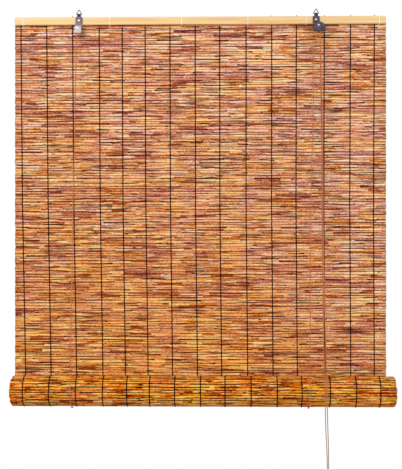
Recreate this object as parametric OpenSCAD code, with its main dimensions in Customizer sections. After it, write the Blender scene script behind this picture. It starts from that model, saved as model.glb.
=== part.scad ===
// Roll up blind of woven reed, drawn half raised as it hangs on its two rings.
// X runs along the batten, Y from the room to the wall, and Z up. The origin is on the
// line that the two hooks lie on, midway between them. All sizes are in millimetres.

/* [Mat] */
// Width of the reed mat, and length of the bottom batten
mat_w = 1004; // [760:2:1400]
// Height of the mat that hangs, from its top edge to the middle of the roll
mat_drop = 1002; // [800:2:1400]
// Height that one row of reeds takes
row_h = 7; // [6:0.1:9]
// Thickness of the mat over its reeds
mat_t = 5.6; // [4.6:0.1:7]
// Thickness of the wall between two rows
web_t = 1.6; // [1:0.1:2.4]
// How far the mat's middle lies to the right of the middle between the hooks
mat_shift = 6.7; // [-20:0.1:20]
// How many gaps between the rows show light
gap_count = 60; // [0:1:90]
// Height of such a gap
gap_h = 1.2; // [0.6:0.1:2]

/* [Warp threads] */
// Width of a thread
thread_w = 2.8; // [1:0.1:3.4]
// Thickness of a thread's strand
thread_t = 0.6; // [0.3:0.1:0.9]
// Distance from the mat's left edge to the first thread
thread_left = 16.6; // [8:0.2:40]
// Distance from the mat's right edge to the last thread
thread_right = 32.2; // [8:0.2:40]
// How far the first thread leans to the right on its way down
thread_lean = 14; // [0:0.5:20]

/* [Roll] */
// Outer radius of the roll
roll_r = 44.5; // [39:0.5:60]
// How many turns of the mat are on the roll
roll_turns = 3.5; // [2.5:0.5:3.5]
// How much longer the roll is than the mat is wide, because its turns don't line up
roll_extra = 18.5; // [0:0.5:30]
// How far the roll has crept to the right
roll_creep = 8.7; // [-10:0.1:10]

/* [Battens] */
// Height of the head batten
batten_h = 20.5; // [18:0.5:30]
// Depth of the head batten
batten_d = 9; // [7:0.5:14]
// Distance from the hooks' line down to the head batten's top edge
batten_top_drop = 17.5; // [17:0.1:30]
// How much shorter than the mat the head batten is at each end
batten_inset = 3; // [0:0.5:10]
// Width of the bottom batten, which is rolled in
bottom_w = 18; // [12:0.5:19]
// Thickness of the bottom batten
bottom_t = 7; // [5:0.5:9]
// Flat cut along the battens' long edges
edge_cut = 1; // [0.4:0.1:2]

/* [Ties] */
// Width of the clear ties that hold the batten on the mat
tie_w = 1.6; // [1:0.1:3]
// Thickness of a tie
tie_t = 0.8; // [0.5:0.1:1.2]

/* [Hangers] */
// Distance between the two hooks
hook_spacing = 638; // [400:2:700]
// Thickness of the hanging ring's wire
ring_wire = 2; // [1.6:0.1:2.4]
// Width of the hanging ring over its wire
ring_w = 15.2; // [14:0.2:22]
// Height from the middle of the ring's bottom bar to the hook
ring_h = 10.8; // [10:0.2:16]
// Width of the strap that folds round the ring's bottom bar
strap_w = 10; // [7:0.2:10]
// Thickness of that strap, both layers together
strap_t = 1.2; // [0.8:0.1:1.6]
// Length of the strap below the ring's bottom bar
strap_l = 22; // [20:0.5:26]
// Width of the hanger plate
plate_w = 18; // [16:0.5:24]
// Thickness of the hanger plate
plate_t = 1.2; // [0.8:0.1:2]
// Distance from the batten's top edge down to the plate's screw
screw_drop = 9.5; // [8:0.5:12]
// Diameter of the screw's shank
screw_d = 3.2; // [2.5:0.1:3.6]

/* [Pulleys] */
// Thickness of the housings' sheet
wall_t = 1; // [0.6:0.1:1.6]
// Diameter of the pulley wheel and of the lock's sheave over their rims
wheel_d = 12; // [11.5:0.5:14]
// Thickness of a wheel's rim at each side of its groove
rim_t = 0.9; // [0.6:0.1:1.4]
// Diameter of the axles
axle_d = 3; // [2.4:0.1:3.6]
// How far the left pulley's middle lies beside its hook
pulley_dx = -2; // [-3:0.5:3]
// Distance from the hooks' line down to the left pulley's axle
pulley_drop = 50.5; // [50:0.5:60]
// Width of the left pulley's housing
housing_w = 18; // [17:0.5:26]
// How far the lock's sheave lies beside its hook
sheave_dx = 6; // [2:0.5:6]
// Distance from the hooks' line down to the sheave's axle
sheave_drop = 43.5; // [43:0.5:60]
// How far the cam's pin lies beside the sheave's axle
cam_dx = 12; // [12:0.5:14]
// How far the cam's pin lies below the sheave's axle
cam_dz = 8; // [6:0.5:9]

/* [Cords] */
// Diameter of the cords
cord_d = 2.5; // [2:0.1:3]
// How far to the right of its hook the left cord goes round the roll
left_sling_dx = -14; // [-40:1:-11]
// How far to the right of its hook the right cord goes round the roll
right_sling_dx = -23; // [-40:1:-18]
// Radius of the screw eyes' rings
eye_r = 2.6; // [2.2:0.1:4]
// Diameter of the screw eyes' wire
eye_wire = 1.6; // [1.2:0.1:2]

/* [Knob] */
// Height of the knob on the pull cords
knob_h = 34; // [26:1:50]
// Largest diameter of the knob
knob_d = 19; // [16:0.5:26]

/* [Hidden] */
$fn = 32;

// Colours
c_reed = [0.76, 0.52, 0.34];
c_roll = [0.71, 0.45, 0.2];
c_thread = [0.12, 0.07, 0.07];
c_pale_wood = [0.95, 0.8, 0.56];
c_tie = [0.95, 0.95, 0.92];
c_steel = [0.5, 0.5, 0.53];
c_nickel = [0.78, 0.77, 0.74];
c_black = [0.08, 0.08, 0.08];
c_cord = [0.72, 0.42, 0.3];

// Clearances
run_gap = 0.3;    // between a moving piece and its neighbour
seat_gap = 0.25;  // between a cord and what it lies on
hole_gap = 0.05;  // between a pin or shank and its hole, all round
over = 0.2;       // how far a cut runs past a face
lap = 0.2;        // how far a straight wire runs into its bend
swell = 0.05;     // how much thicker bending leaves the wire, all round

// Depths, counted from the hooks' line, with the room at minus Y
batten_y = strap_t / 2;
batten_back = batten_y + batten_d;
mat_y = batten_back + thread_t + run_gap;
mat_back = mat_y + mat_t;
plate_y = -strap_t / 2 - plate_t;
housing_y = plate_y - wall_t;
groove_w = cord_d + 2 * run_gap;
wheel_w = groove_w + 2 * rim_t;
sheave_w = 2 * groove_w + 3 * rim_t;
back_groove_y = housing_y - run_gap - rim_t - groove_w / 2;
front_groove_y = back_groove_y - groove_w - rim_t;

// Heights
batten_top = -batten_top_drop;
batten_bottom = batten_top - batten_h;
mat_top = batten_top - 0.6;
rows = round(mat_drop / row_h);
pitch = mat_drop / rows;
roll_z = mat_top - mat_drop;
valley = (mat_t - web_t) / 2;
screw_z = batten_top - screw_drop;
eye_row = 2;
eye_z = mat_top - eye_row * pitch;
tie_row = ceil((mat_top - batten_bottom + tie_t) / pitch);
tie_z = mat_top - tie_row * pitch;

// Places along the batten
mat_left = mat_shift - mat_w / 2;
mat_right = mat_shift + mat_w / 2;
hook_x = hook_spacing / 2;
left_sling_x = -hook_x + left_sling_dx;
right_sling_x = hook_x + right_sling_dx;
tie_at = [0.024, 0.257, 0.451, 0.629, 0.785, 0.98];
pulley = [-hook_x + pulley_dx, -pulley_drop];
sheave = [hook_x + sheave_dx, -sheave_drop];
cam = [sheave[0] + cam_dx, sheave[1] - cam_dz];

// One row of the mat in outline: the share of its height, and of the valley's depth
front_row = [[0, 1], [0.2, 0.25], [0.5, 0], [0.8, 0.25]];
back_row = [[0, 1], [0.5, 0]];

// Warp threads: how far each strays from its even place
thread_stray = [0, 2, 4, 8, 2, -4, -5, -5, -7, -4, -3, -5, 2, 4, 0];
threads = len(thread_stray);

// The threads whose cut ends stand up from their knots, and how high
tip_threads = [2, 10, 11, 12, 13, 14];
tip_h = 5.6;
tip_r = 1.3;

// How far each thread moves to the right where it goes round the roll
roll_stray = [4.5, 4.5, 6.5, 6.5, 9, 8, 8, 9, 8.5, 7, 7.5, 7, 7, 6.2, 6.2];
thread_step = (mat_w - thread_left - thread_right) / (threads - 1);

// Roll
rows_a_turn = 32;
row_angle = 360 / rows_a_turn;
turn_pitch = mat_t + thread_t + run_gap;
roll_y = mat_back - roll_r;
roll_rows = roll_turns * rows_a_turn;
roll_thread_rows = rows_a_turn - 2;

// The bottom batten lies against the inner end of the mat
core_r = roll_r - (roll_turns - 0.1) * turn_pitch - mat_t - run_gap;
bottom_y = roll_y - sqrt(core_r * core_r - pow(bottom_w / 2 - edge_cut, 2));

// Cords
cord_r = cord_d / 2;
wrap_r = roll_r + seat_gap + cord_r;
wheel_r = wheel_d / 2;
turn_r = wheel_r - 2;
groove_r = turn_r - cord_r - run_gap;
axle_r = axle_d / 2;
bore_r = axle_r + hole_gap;
exit_z = -61;
run_end_z = roll_z + seat_gap;
front_wrap_y = roll_y - wrap_r;
back_wrap_y = roll_y + wrap_r;
left_run_x = pulley[0] - turn_r;
right_run_x = sheave[0] - turn_r;
pull_x = sheave[0] + turn_r;
drape_y = front_wrap_y - run_gap;
drape_z = roll_z + 4;
knob_top = [pull_x + 15, drape_y, roll_z - 210];
knob_bore_r = cord_d + 0.4;
knot_h = 7;
knot_z = knob_top[2] - knob_h + 6.5;

// Routes of the lift cords: the share of the way down, and of the way across
left_route = [[0, 0], [0.47, 0.55], [0.75, 0.8], [1, 1]];
right_route = [[0, 0], [0.035, 0.25], [0.23, 0.46], [0.455, 0.77], [0.9, 0.93], [1, 1]];

// Routes of the pull cords from the lock to the roll: how far to the right, and how high
pull_left_route = [[0, exit_z], [1.8, -300], [2.9, -700], [6.2, -960], [7.5, drape_z]];
pull_right_route = [[0, exit_z], [4.4, -300], [6.1, -700], [11.2, -960], [12.5, drape_z]];

// Routes of their ends below: how far to the right, and how far below the roll's middle
tail_left_route = [[7.5, -3.6], [7.8, 28], [9, 88], [11.5, 139], [13.4, 195], [13.6, 210]];
tail_right_route = [[12.5, -3.6], [13, 28], [14.4, 88], [16, 139], [16.4, 195], [16.4, 210]];

// Helpers

// Extrudes an outline drawn in Y and Z along X
module along_x(x, length) {
  translate([x, 0, 0]) rotate([90, 0, 90]) linear_extrude(length) children();
}

// Extrudes an outline drawn in X and Z towards the room
module from_wall(y_back, depth) {
  translate([0, y_back, 0]) rotate([90, 0, 0]) linear_extrude(depth) children();
}

// A cylinder along Y, from y_back towards the room
module pin(x, z, r, y_back, depth) {
  translate([x, y_back, z]) rotate([90, 0, 0]) cylinder(h = depth, r = r);
}

// A rectangle with cut corners, from its lower left corner
module cut_rect(x, z, w, h, cut) {
  polygon([
    [x + cut, z], [x + w - cut, z], [x + w, z + cut], [x + w, z + h - cut],
    [x + w - cut, z + h], [x + cut, z + h], [x, z + h - cut], [x, z + cut]
  ]);
}

// A rectangle with round corners, from its lower left corner
module round_rect(x, z, w, h, r) {
  translate([x + r, z]) square([w - 2 * r, h]);
  translate([x, z + r]) square([w, h - 2 * r]);
  for (cx = [x + r, x + w - r], cz = [z + r, z + h - r])
    translate([cx, cz]) circle(r);
}

// Two circles joined by the straight lines that touch both
module belt(a, ra, b, rb) {
  line = atan2(b[1] - a[1], b[0] - a[0]);
  lean = acos((ra - rb) / norm(b - a));
  translate(a) circle(ra);
  translate(b) circle(rb);
  polygon([
    a + ra * [cos(line + lean), sin(line + lean)],
    a + ra * [cos(line - lean), sin(line - lean)],
    b + rb * [cos(line - lean), sin(line - lean)],
    b + rb * [cos(line + lean), sin(line + lean)]
  ]);
}

// A straight rod between two points, and a little past each
module rod(a, b, r, past) {
  d = b - a;
  translate(a - past * unit(d))
    rotate([0, acos(d[2] / norm(d)), atan2(d[1], d[0])])
      cylinder(h = norm(d) + 2 * past, r = r);
}

// A rod bent to an arc in the plane of X and Z, turning from one angle to another
module bent_rod(centre, y, bend_r, r, from, turn) {
  translate([centre[0], y, centre[1]])
    rotate([90, 0, 0]) rotate([0, 0, from])
      rotate_extrude(angle = turn) translate([bend_r, 0]) circle(r);
}

// A cord as a tube of eight sides along its points
function unit(v) = v / norm(v);
function heading(p, i) =
  unit(p[min(i + 1, len(p) - 1)] - p[max(i - 1, 0)]);
function ring_at(p, i, r) =
  let (t = heading(p, i), a = unit(cross([0, 1, 0], t)), b = cross(t, a))
  [for (k = [0:7]) p[i] + r * (cos(k * 45) * a + sin(k * 45) * b)];
module tube(p, r) {
  n = len(p);
  polyhedron(
    points = [for (i = [0:n - 1]) each ring_at(p, i, r)],
    faces = concat(
      [[for (k = [0:7]) k]],
      [for (i = [0:n - 2], k = [0:7])
        [i * 8 + (k + 1) % 8, i * 8 + k, (i + 1) * 8 + k, (i + 1) * 8 + (k + 1) % 8]],
      [[for (k = [7:-1:0]) (n - 1) * 8 + k]]
    )
  );
}

// Mat

function row_edge(row, k, y, side) =
  [for (p = row) [y + side * p[1] * valley, mat_top - (k + p[0]) * pitch]];

module mat_outline() {
  polygon(concat(
    [for (k = [0:rows - 1]) each row_edge(front_row, k, mat_y, 1)],
    [[mat_y + valley, roll_z], [mat_back - valley, roll_z]],
    [for (k = [rows - 1:-1:0], p = back_row)
      if (k < rows - 1 || p[0] > 0) [mat_back - p[1] * valley, mat_top - (k + 1 - p[0]) * pitch]],
    [[mat_back - valley, mat_top]]
  ));
}

// Gaps between rows, spread evenly but out of step
function gap_row(i) = tie_row + 3 + (i * 37) % (rows - tie_row - 6);
function gap_len(i) = 16 + 36 * ((i * 0.37) % 1);
function gap_x(i) = mat_left + 20 + (mat_w - 100) * ((i * 0.618) % 1);

module reed_mat() {
  color(c_reed)
    difference() {
      along_x(mat_left, mat_w) mat_outline();
      if (gap_count > 0)
        for (i = [0:gap_count - 1])
          translate([gap_x(i), mat_y - over, mat_top - gap_row(i) * pitch - gap_h / 2])
            cube([gap_len(i), mat_t + 2 * over, gap_h]);
      for (at = tie_at)
        translate([tie_x(at) - tie_w / 2 - run_gap, mat_y - over, tie_z - tie_t / 2 - run_gap])
          cube([tie_w + 2 * run_gap, mat_t + 2 * over, tie_t + 2 * run_gap]);
      for (x = [left_sling_x, right_sling_x])
        pin(x, eye_z, eye_wire / 2 + hole_gap, mat_back + over, mat_t + 2 * over);
    }
}

// Warp threads

function thread_x(i) = mat_left + thread_left + i * thread_step + thread_stray[i];
function thread_slope(i) = thread_lean * (1 - i / (threads - 1));
function thread_middle_x(i) = thread_x(i) + thread_slope(i) / 2 - 2.5;
function thread_end_x(i) = thread_x(i) + thread_slope(i);

// One thread's two strands, before and behind the reeds, and its knot above them
module warp_thread(i) {
  top_z = mat_top + run_gap;
  middle_z = (top_z + roll_z) / 2;
  path = [[thread_x(i), top_z], [thread_middle_x(i), middle_z], [thread_end_x(i), roll_z + 0.6]];
  strand = concat(
    [for (p = path) [p[0] - thread_w / 2, p[1]]],
    [for (k = [len(path) - 1:-1:0]) [path[k][0] + thread_w / 2, path[k][1]]]
  );
  color(c_thread) {
    from_wall(mat_y, thread_t) polygon(strand);
    from_wall(mat_back + thread_t, thread_t) polygon(strand);
    translate([thread_x(i) - thread_w / 2, mat_y - thread_t, top_z])
      cube([thread_w, mat_t + 2 * thread_t, 1.2]);
    if (len(search(i, tip_threads)) > 0)
      translate([thread_x(i), mat_y + mat_t / 2, top_z + 0.6])
        cylinder(h = tip_h - 0.6, r1 = tip_r, r2 = tip_r - 0.4, $fn = 8);
  }
}

// Roll

function roll_point(a, r) = [roll_y + r * cos(a), roll_z - r * sin(a)];
function outer_r(a) = roll_r - turn_pitch * a / 360;

// The outermost turn shows its reeds, and the turns inside it have one face for each
module roll_outline() {
  polygon(concat(
    [for (j = [0:rows_a_turn - 1], p = front_row)
      let (a = (j + p[0]) * row_angle) roll_point(a, outer_r(a) - p[1] * valley)],
    [for (j = [rows_a_turn:roll_rows])
      let (a = j * row_angle) roll_point(a, outer_r(a))],
    [for (j = [roll_rows:-1:0])
      let (a = j * row_angle) roll_point(a, outer_r(a) - mat_t)]
  ));
}

module reed_roll() {
  color(c_roll)
    along_x(mat_left + roll_creep - roll_extra / 2, mat_w + roll_extra) roll_outline();
}

// The part of the warp threads that goes round the roll, on its outermost turn
module roll_threads() {
  function crest(j, more) =
    let (a = (j + 0.5) * row_angle) roll_point(a, outer_r(a) + more);
  color(c_thread)
    for (i = [0:threads - 1])
      along_x(thread_end_x(i) + roll_stray[i] - thread_w / 2, thread_w)
        polygon(concat(
          [for (j = [0:roll_thread_rows]) crest(j, thread_t)],
          [for (j = [roll_thread_rows:-1:0]) crest(j, 0)]
        ));
}

// Battens and ties

module head_batten() {
  color(c_pale_wood)
    difference() {
      along_x(mat_left + batten_inset, mat_w - 2 * batten_inset)
        cut_rect(batten_y, batten_bottom, batten_d, batten_h, edge_cut);
      for (x = [-hook_x, hook_x])
        pin(x, screw_z, screw_d / 2 + hole_gap, batten_back - 2, batten_d);
      for (x = [left_sling_x, right_sling_x])
        pin(x, eye_z, eye_wire / 2 + hole_gap, batten_back + over, batten_d - 2);
    }
}

module bottom_batten() {
  color(c_pale_wood)
    along_x(mat_left + roll_creep, mat_w)
      cut_rect(bottom_y, roll_z - bottom_w / 2, bottom_t, bottom_w, edge_cut);
}

function tie_x(at) = mat_left + at * mat_w;

// A tie goes round the batten and the top rows, and comes back through the mat below them
module batten_tie(n) {
  front = batten_y - 0.1;
  back = mat_back + 0.1;
  top = mat_top + 0.7;
  low = tie_z + tie_t / 2;
  heel = batten_bottom - 0.1;
  color(c_tie)
    along_x(tie_x(tie_at[n]) - tie_w / 2, tie_w)
      difference() {
        polygon([
          [front - tie_t, top + tie_t], [back + tie_t, top + tie_t], [back + tie_t, low - tie_t],
          [mat_y, low - tie_t], [front - tie_t, heel - tie_t]
        ]);
        polygon([
          [front, top], [back, top], [back, low], [mat_y, low],
          [batten_back, heel], [front, heel]
        ]);
      }
}

// Hangers

// A wire loop with three round corners, standing on its bottom bar
module hanging_ring(x) {
  r = ring_wire / 2;
  bend = 1.4;
  bar_z = r - ring_h - r;
  side = ring_w / 2 - r - bend;
  low = bar_z + bend;
  high = r - bend;
  slope = atan2(high - low, side);
  color(c_steel)
    translate([x, 0, 0]) {
      rod([-side, 0, bar_z], [side, 0, bar_z], r, lap);
      for (s = [-1, 1])
        rod([s * (side + bend * sin(slope)), 0, low + bend * cos(slope)],
            [s * bend * sin(slope), 0, high + bend * cos(slope)], r, lap);
      bent_rod([side, low], 0, bend, r + swell, -90, 180 - slope);
      bent_rod([-side, low], 0, bend, r + swell, 90 + slope, 180 - slope);
      bent_rod([0, high], 0, bend, r + swell, 90 - slope, 2 * slope);
    }
}

module hanger_strap(x) {
  bar_z = -ring_h;
  hole_r = ring_wire / 2 + seat_gap;
  outer = hole_r + strap_t / 2;
  color(c_black)
    difference() {
      union() {
        translate([x - strap_w / 2, 0, bar_z]) rotate([0, 90, 0]) cylinder(h = strap_w, r = outer);
        translate([x - strap_w / 2, -strap_t / 2, bar_z - strap_l])
          cube([strap_w, strap_t, strap_l - outer / 2]);
      }
      translate([x - strap_w / 2 - over, 0, bar_z]) rotate([0, 90, 0])
        cylinder(h = strap_w + 2 * over, r = hole_r);
      pin(x, screw_z, screw_d / 2 + hole_gap, strap_t / 2 + over, strap_t + 2 * over);
    }
}

// The plate hangs from the batten's screw and carries a pulley's axle below
module hanger_plate(x, axle) {
  low = axle[1] - 8.5;
  color(c_steel)
    difference() {
      from_wall(-strap_t / 2, plate_t)
        round_rect(x - plate_w / 2, low, plate_w, batten_top - low, 1.5);
      pin(x, screw_z, screw_d / 2 + hole_gap, 0, strap_t + plate_t);
      pin(axle[0], axle[1], bore_r, 0, strap_t + plate_t);
    }
}

module plate_screw(x) {
  color(c_nickel) {
    pin(x, screw_z, screw_d / 2, batten_back - 2.4, batten_back - 2.4 - plate_y);
    translate([x, plate_y, screw_z]) rotate([90, 0, 0]) screw_head();
  }
}

// A low dome, its flat side on the plate
module screw_head() {
  head_r = screw_d * 0.95;
  head_h = screw_d * 0.45;
  ball = (head_r * head_r + head_h * head_h) / (2 * head_h);
  rotate_extrude()
    intersection() {
      translate([0, head_h - ball]) circle(ball);
      square([head_r, head_h]);
    }
}

// Left pulley

module wheel_outline(width, grooves) {
  difference() {
    translate([bore_r, 0]) square([wheel_r - bore_r, width]);
    for (g = [0:grooves - 1])
      translate([groove_r, rim_t + g * (groove_w + rim_t)])
        polygon([
          [0, 0.4], [wheel_r - groove_r + over, 0], [wheel_r - groove_r + over, groove_w],
          [0, groove_w - 0.4]
        ]);
  }
}

module grooved_wheel(at, width, grooves) {
  translate([at[0], housing_y - run_gap, at[1]]) rotate([90, 0, 0])
    rotate_extrude() wheel_outline(width, grooves);
}

module pulley_wheel_left() {
  color(c_nickel) grooved_wheel(pulley, wheel_w, 1);
}

// A sheet folded over the top of the wheel, open at the sides and below
module pulley_housing_left() {
  inside = wheel_w + 2 * run_gap;
  low = exit_z - 0.5;
  high = pulley[1] + wheel_r + 2;
  color(c_nickel)
    difference() {
      union() {
        for (y = [plate_y, housing_y - inside])
          from_wall(y, wall_t)
            round_rect(pulley[0] - housing_w / 2, low, housing_w, high - low, 3.5);
        from_wall(housing_y, inside)
          translate([pulley[0] - housing_w / 2 + 3.5, high - wall_t]) square([housing_w - 7, wall_t]);
      }
      pin(pulley[0], pulley[1], bore_r, plate_y + over, inside + 3 * wall_t);
    }
}

// An axle riveted over at both ends
module axle(at, y_back, y_front) {
  head_r = axle_r + 1.3;
  color(c_steel) {
    pin(at[0], at[1], axle_r, y_back, y_back - y_front);
    pin(at[0], at[1], head_r, y_back + 0.8, 0.8);
    translate([at[0], y_front, at[1]]) rotate([90, 0, 0])
      rotate_extrude() polygon([[0, 0], [head_r, 0], [head_r - 0.8, 1], [0, 1.3]]);
  }
}

module pulley_axle_left() {
  axle(pulley, -strap_t / 2, housing_y - wheel_w - 2 * run_gap - wall_t);
}

// Cord lock

lock_inside = sheave_w + 2 * run_gap;
cam_nose_r = (cam_dx - turn_r - cord_r - run_gap) / cos(20);

// A round top over the sheave, and a wide lobe over the cam with a flat foot
module lock_outline() {
  translate(sheave) circle(wheel_r + 3.5);
  intersection() {
    translate(sheave + [1.5, -8.5]) circle(cam_dx + 5);
    translate([sheave[0] - 12, exit_z + 3.2]) square([cam_dx + 20, 40]);
  }
}

module lock_housing() {
  bridge_w = wheel_r * 1.7;
  bridge_z = sheave[1] + wheel_r + 1.4;
  color(c_steel)
    difference() {
      union() {
        for (y = [plate_y, housing_y - lock_inside])
          from_wall(y, wall_t) lock_outline();
        from_wall(housing_y, lock_inside)
          translate([sheave[0] - bridge_w / 2, bridge_z]) square([bridge_w, wall_t]);
      }
      pin(sheave[0], sheave[1], bore_r, plate_y + over, lock_inside + 3 * wall_t);
      pin(cam[0], cam[1], bore_r, plate_y + over, lock_inside + 3 * wall_t);
    }
}

module lock_sheave() {
  color(c_nickel) grooved_wheel(sheave, sheave_w, 2);
}

module sheave_axle() {
  axle(sheave, -strap_t / 2, housing_y - lock_inside - wall_t);
}

module cam_pin() {
  axle(cam, plate_y, housing_y - lock_inside - wall_t);
}

// The cam's toothed nose points at the cords, and its heavy lobe keeps it against them
module cam_outline() {
  teeth = 5;
  tooth = 7;
  difference() {
    union() {
      circle(3.2);
      polygon(concat([[0, 0]], [for (k = [0:2 * teeth])
        (cam_nose_r - (k % 2) * 0.7) * [cos(200 + k * tooth / 2), sin(200 + k * tooth / 2)]]));
      belt([0, 0], 3.2, [3.4, 1.4], 2.9);
    }
    circle(bore_r);
  }
}

module lock_cam() {
  color(c_nickel)
    from_wall(housing_y - run_gap, sheave_w) translate(cam) cam_outline();
}

// Anchors of the lift cords, behind the mat

module screw_eye(x) {
  eye_y = mat_back + thread_t + run_gap + eye_wire / 2 + eye_r;
  color(c_nickel) {
    translate([x, eye_y, eye_z]) rotate([0, 90, 0])
      rotate_extrude() translate([eye_r, 0]) circle(eye_wire / 2);
    pin(x, eye_z, eye_wire / 2, eye_y - eye_r, eye_y - eye_r - batten_back + batten_d - 3);
  }
}

eye_bottom = eye_z - eye_r - eye_wire / 2;
eye_cord_y = mat_back + thread_t + run_gap + eye_wire / 2 + eye_r;

module eye_knot(x) {
  color(c_cord)
    translate([x, eye_cord_y, eye_bottom - seat_gap - 5])
      rotate_extrude()
        polygon([[0, 0], [cord_r, 0], [cord_r * 2, 1.2], [cord_r * 2, 3.8], [cord_r, 5], [0, 5]]);
}

// Lift cords

// From below a pulley to the front of the roll
function front_run(x_top, y_top, x_end, route) = [
  for (p = route)
    [x_top + (x_end - x_top) * p[1],
     y_top + (front_wrap_y - y_top) * p[0],
     exit_z + (run_end_z - exit_z) * p[0]]
];

module lift_cord_left() {
  color(c_cord)
    tube(front_run(left_run_x, back_groove_y, left_sling_x, left_route), cord_r);
}

module lift_cord_right() {
  color(c_cord)
    tube(front_run(right_run_x, front_groove_y, right_sling_x, right_route), cord_r);
}

// From below the screw eye's knot to the back of the roll
module back_cord(x) {
  top_z = eye_bottom - 5 - 2 * seat_gap;
  color(c_cord)
    tube([
      [x, eye_cord_y, top_z],
      [x, (eye_cord_y + back_wrap_y) / 2, (top_z + run_end_z) / 2],
      [x, back_wrap_y, run_end_z]
    ], cord_r);
}

// Half a turn under the roll
module cord_sling(x) {
  color(c_cord)
    translate([x, roll_y, roll_z]) rotate([0, 90, 0]) rotate([0, 0, -90])
      rotate_extrude(angle = 180) translate([wrap_r, 0]) circle(cord_r);
}

// Points on the cord's way round a wheel's middle, turning from one angle to another
function bend_points(at, y, from, to) =
  [for (k = [0:5]) let (a = from + (to - from) * k / 5)
    [at[0] + turn_r * cos(a), y, at[1] + turn_r * sin(a)]];

// The left cord, over its pulley, along the batten and over the sheave
module cross_cord() {
  y = back_groove_y;
  rise = atan2(sheave[1] - pulley[1], sheave[0] - pulley[0]);
  color(c_cord)
    tube(concat(
      [[left_run_x, y, exit_z + seat_gap]],
      bend_points(pulley, y, 180, 90 + rise),
      bend_points(sheave, y, 90 + rise, 0),
      [[pull_x, y, exit_z + seat_gap]]
    ), cord_r);
}

// The right cord, over the sheave
module lock_cord() {
  y = front_groove_y;
  color(c_cord)
    tube(concat(
      [[right_run_x, y, exit_z + seat_gap]],
      bend_points(sheave, y, 180, 90),
      bend_points(sheave, y, 72, 0),
      [[pull_x, y, exit_z + seat_gap]]
    ), cord_r);
}

// Pull cords and their knob

// From the lock, ever further out, to the front of the roll
module pull_cord(y_top, route) {
  color(c_cord)
    tube([for (p = route)
      [pull_x + p[0], y_top + (drape_y - y_top) * (exit_z - p[1]) / (exit_z - roll_z), p[1]]
    ], cord_r);
}

// From the front of the roll down to the knot in the knob
module pull_tail(y_top, route) {
  last = route[len(route) - 1];
  start_y = y_top + (drape_y - y_top) * (exit_z - drape_z) / (exit_z - roll_z);
  color(c_cord)
    tube(concat(
      [for (p = route) [pull_x + p[0], p[1] < 0 ? start_y : drape_y, roll_z - p[1]]],
      [[pull_x + last[0], drape_y, knot_z + knot_h + seat_gap]]
    ), cord_r);
}

// A bell with a bore for both cords and a hollow for their knot
module cord_knob() {
  r = knob_d / 2;
  neck = knob_bore_r + 1.6;
  color(c_pale_wood)
    translate([knob_top[0], knob_top[1], knob_top[2] - knob_h])
      rotate_extrude()
        polygon([
          [r - 2.6, 0], [r - 0.8, 0], [r, 1.5], [r, 8], [r - 1.2, 15], [neck + 1.2, 24],
          [neck, 30], [neck - 0.6, knob_h], [knob_bore_r, knob_h], [knob_bore_r, 14], [r - 4, 11]
        ]);
}

module knob_knot() {
  color(c_cord)
    translate([knob_top[0], knob_top[1], knot_z])
      rotate_extrude()
        polygon([[0, 0], [2.6, 0], [4.6, 2], [4.6, 4.4], [3, knot_h], [0, knot_h]]);
}

// Pieces
head_batten();
reed_mat();
batten_tie(0);  // batten_tie_1
batten_tie(1);  // batten_tie_2
batten_tie(2);  // batten_tie_3
batten_tie(3);  // batten_tie_4
batten_tie(4);  // batten_tie_5
batten_tie(5);  // batten_tie_6
warp_thread(0);  // warp_thread_01
warp_thread(1);  // warp_thread_02
warp_thread(2);  // warp_thread_03
warp_thread(3);  // warp_thread_04
warp_thread(4);  // warp_thread_05
warp_thread(5);  // warp_thread_06
warp_thread(6);  // warp_thread_07
warp_thread(7);  // warp_thread_08
warp_thread(8);  // warp_thread_09
warp_thread(9);  // warp_thread_10
warp_thread(10);  // warp_thread_11
warp_thread(11);  // warp_thread_12
warp_thread(12);  // warp_thread_13
warp_thread(13);  // warp_thread_14
warp_thread(14);  // warp_thread_15
hanging_ring(-hook_x);  // hanging_ring_left
hanging_ring(hook_x);  // hanging_ring_right
hanger_strap(-hook_x);  // hanger_strap_left
hanger_strap(hook_x);  // hanger_strap_right
hanger_plate(-hook_x, pulley);  // hanger_plate_left
hanger_plate(hook_x, sheave);  // hanger_plate_right
plate_screw(-hook_x);  // plate_screw_left
plate_screw(hook_x);  // plate_screw_right
pulley_housing_left();
pulley_wheel_left();
pulley_axle_left();
lock_housing();
lock_sheave();
sheave_axle();
lock_cam();
cam_pin();
screw_eye(left_sling_x);  // screw_eye_left
screw_eye(right_sling_x);  // screw_eye_right
eye_knot(left_sling_x);  // eye_knot_left
eye_knot(right_sling_x);  // eye_knot_right
lift_cord_left();
lift_cord_right();
back_cord(left_sling_x);  // back_cord_left
back_cord(right_sling_x);  // back_cord_right
cross_cord();
lock_cord();
cord_sling(left_sling_x);  // cord_sling_left
cord_sling(right_sling_x);  // cord_sling_right
reed_roll();
roll_threads();
bottom_batten();
pull_cord(back_groove_y, pull_left_route);  // pull_cord_left
pull_cord(front_groove_y, pull_right_route);  // pull_cord_right
pull_tail(back_groove_y, tail_left_route);  // pull_tail_left
pull_tail(front_groove_y, tail_right_route);  // pull_tail_right
cord_knob();
knob_knot();
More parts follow.
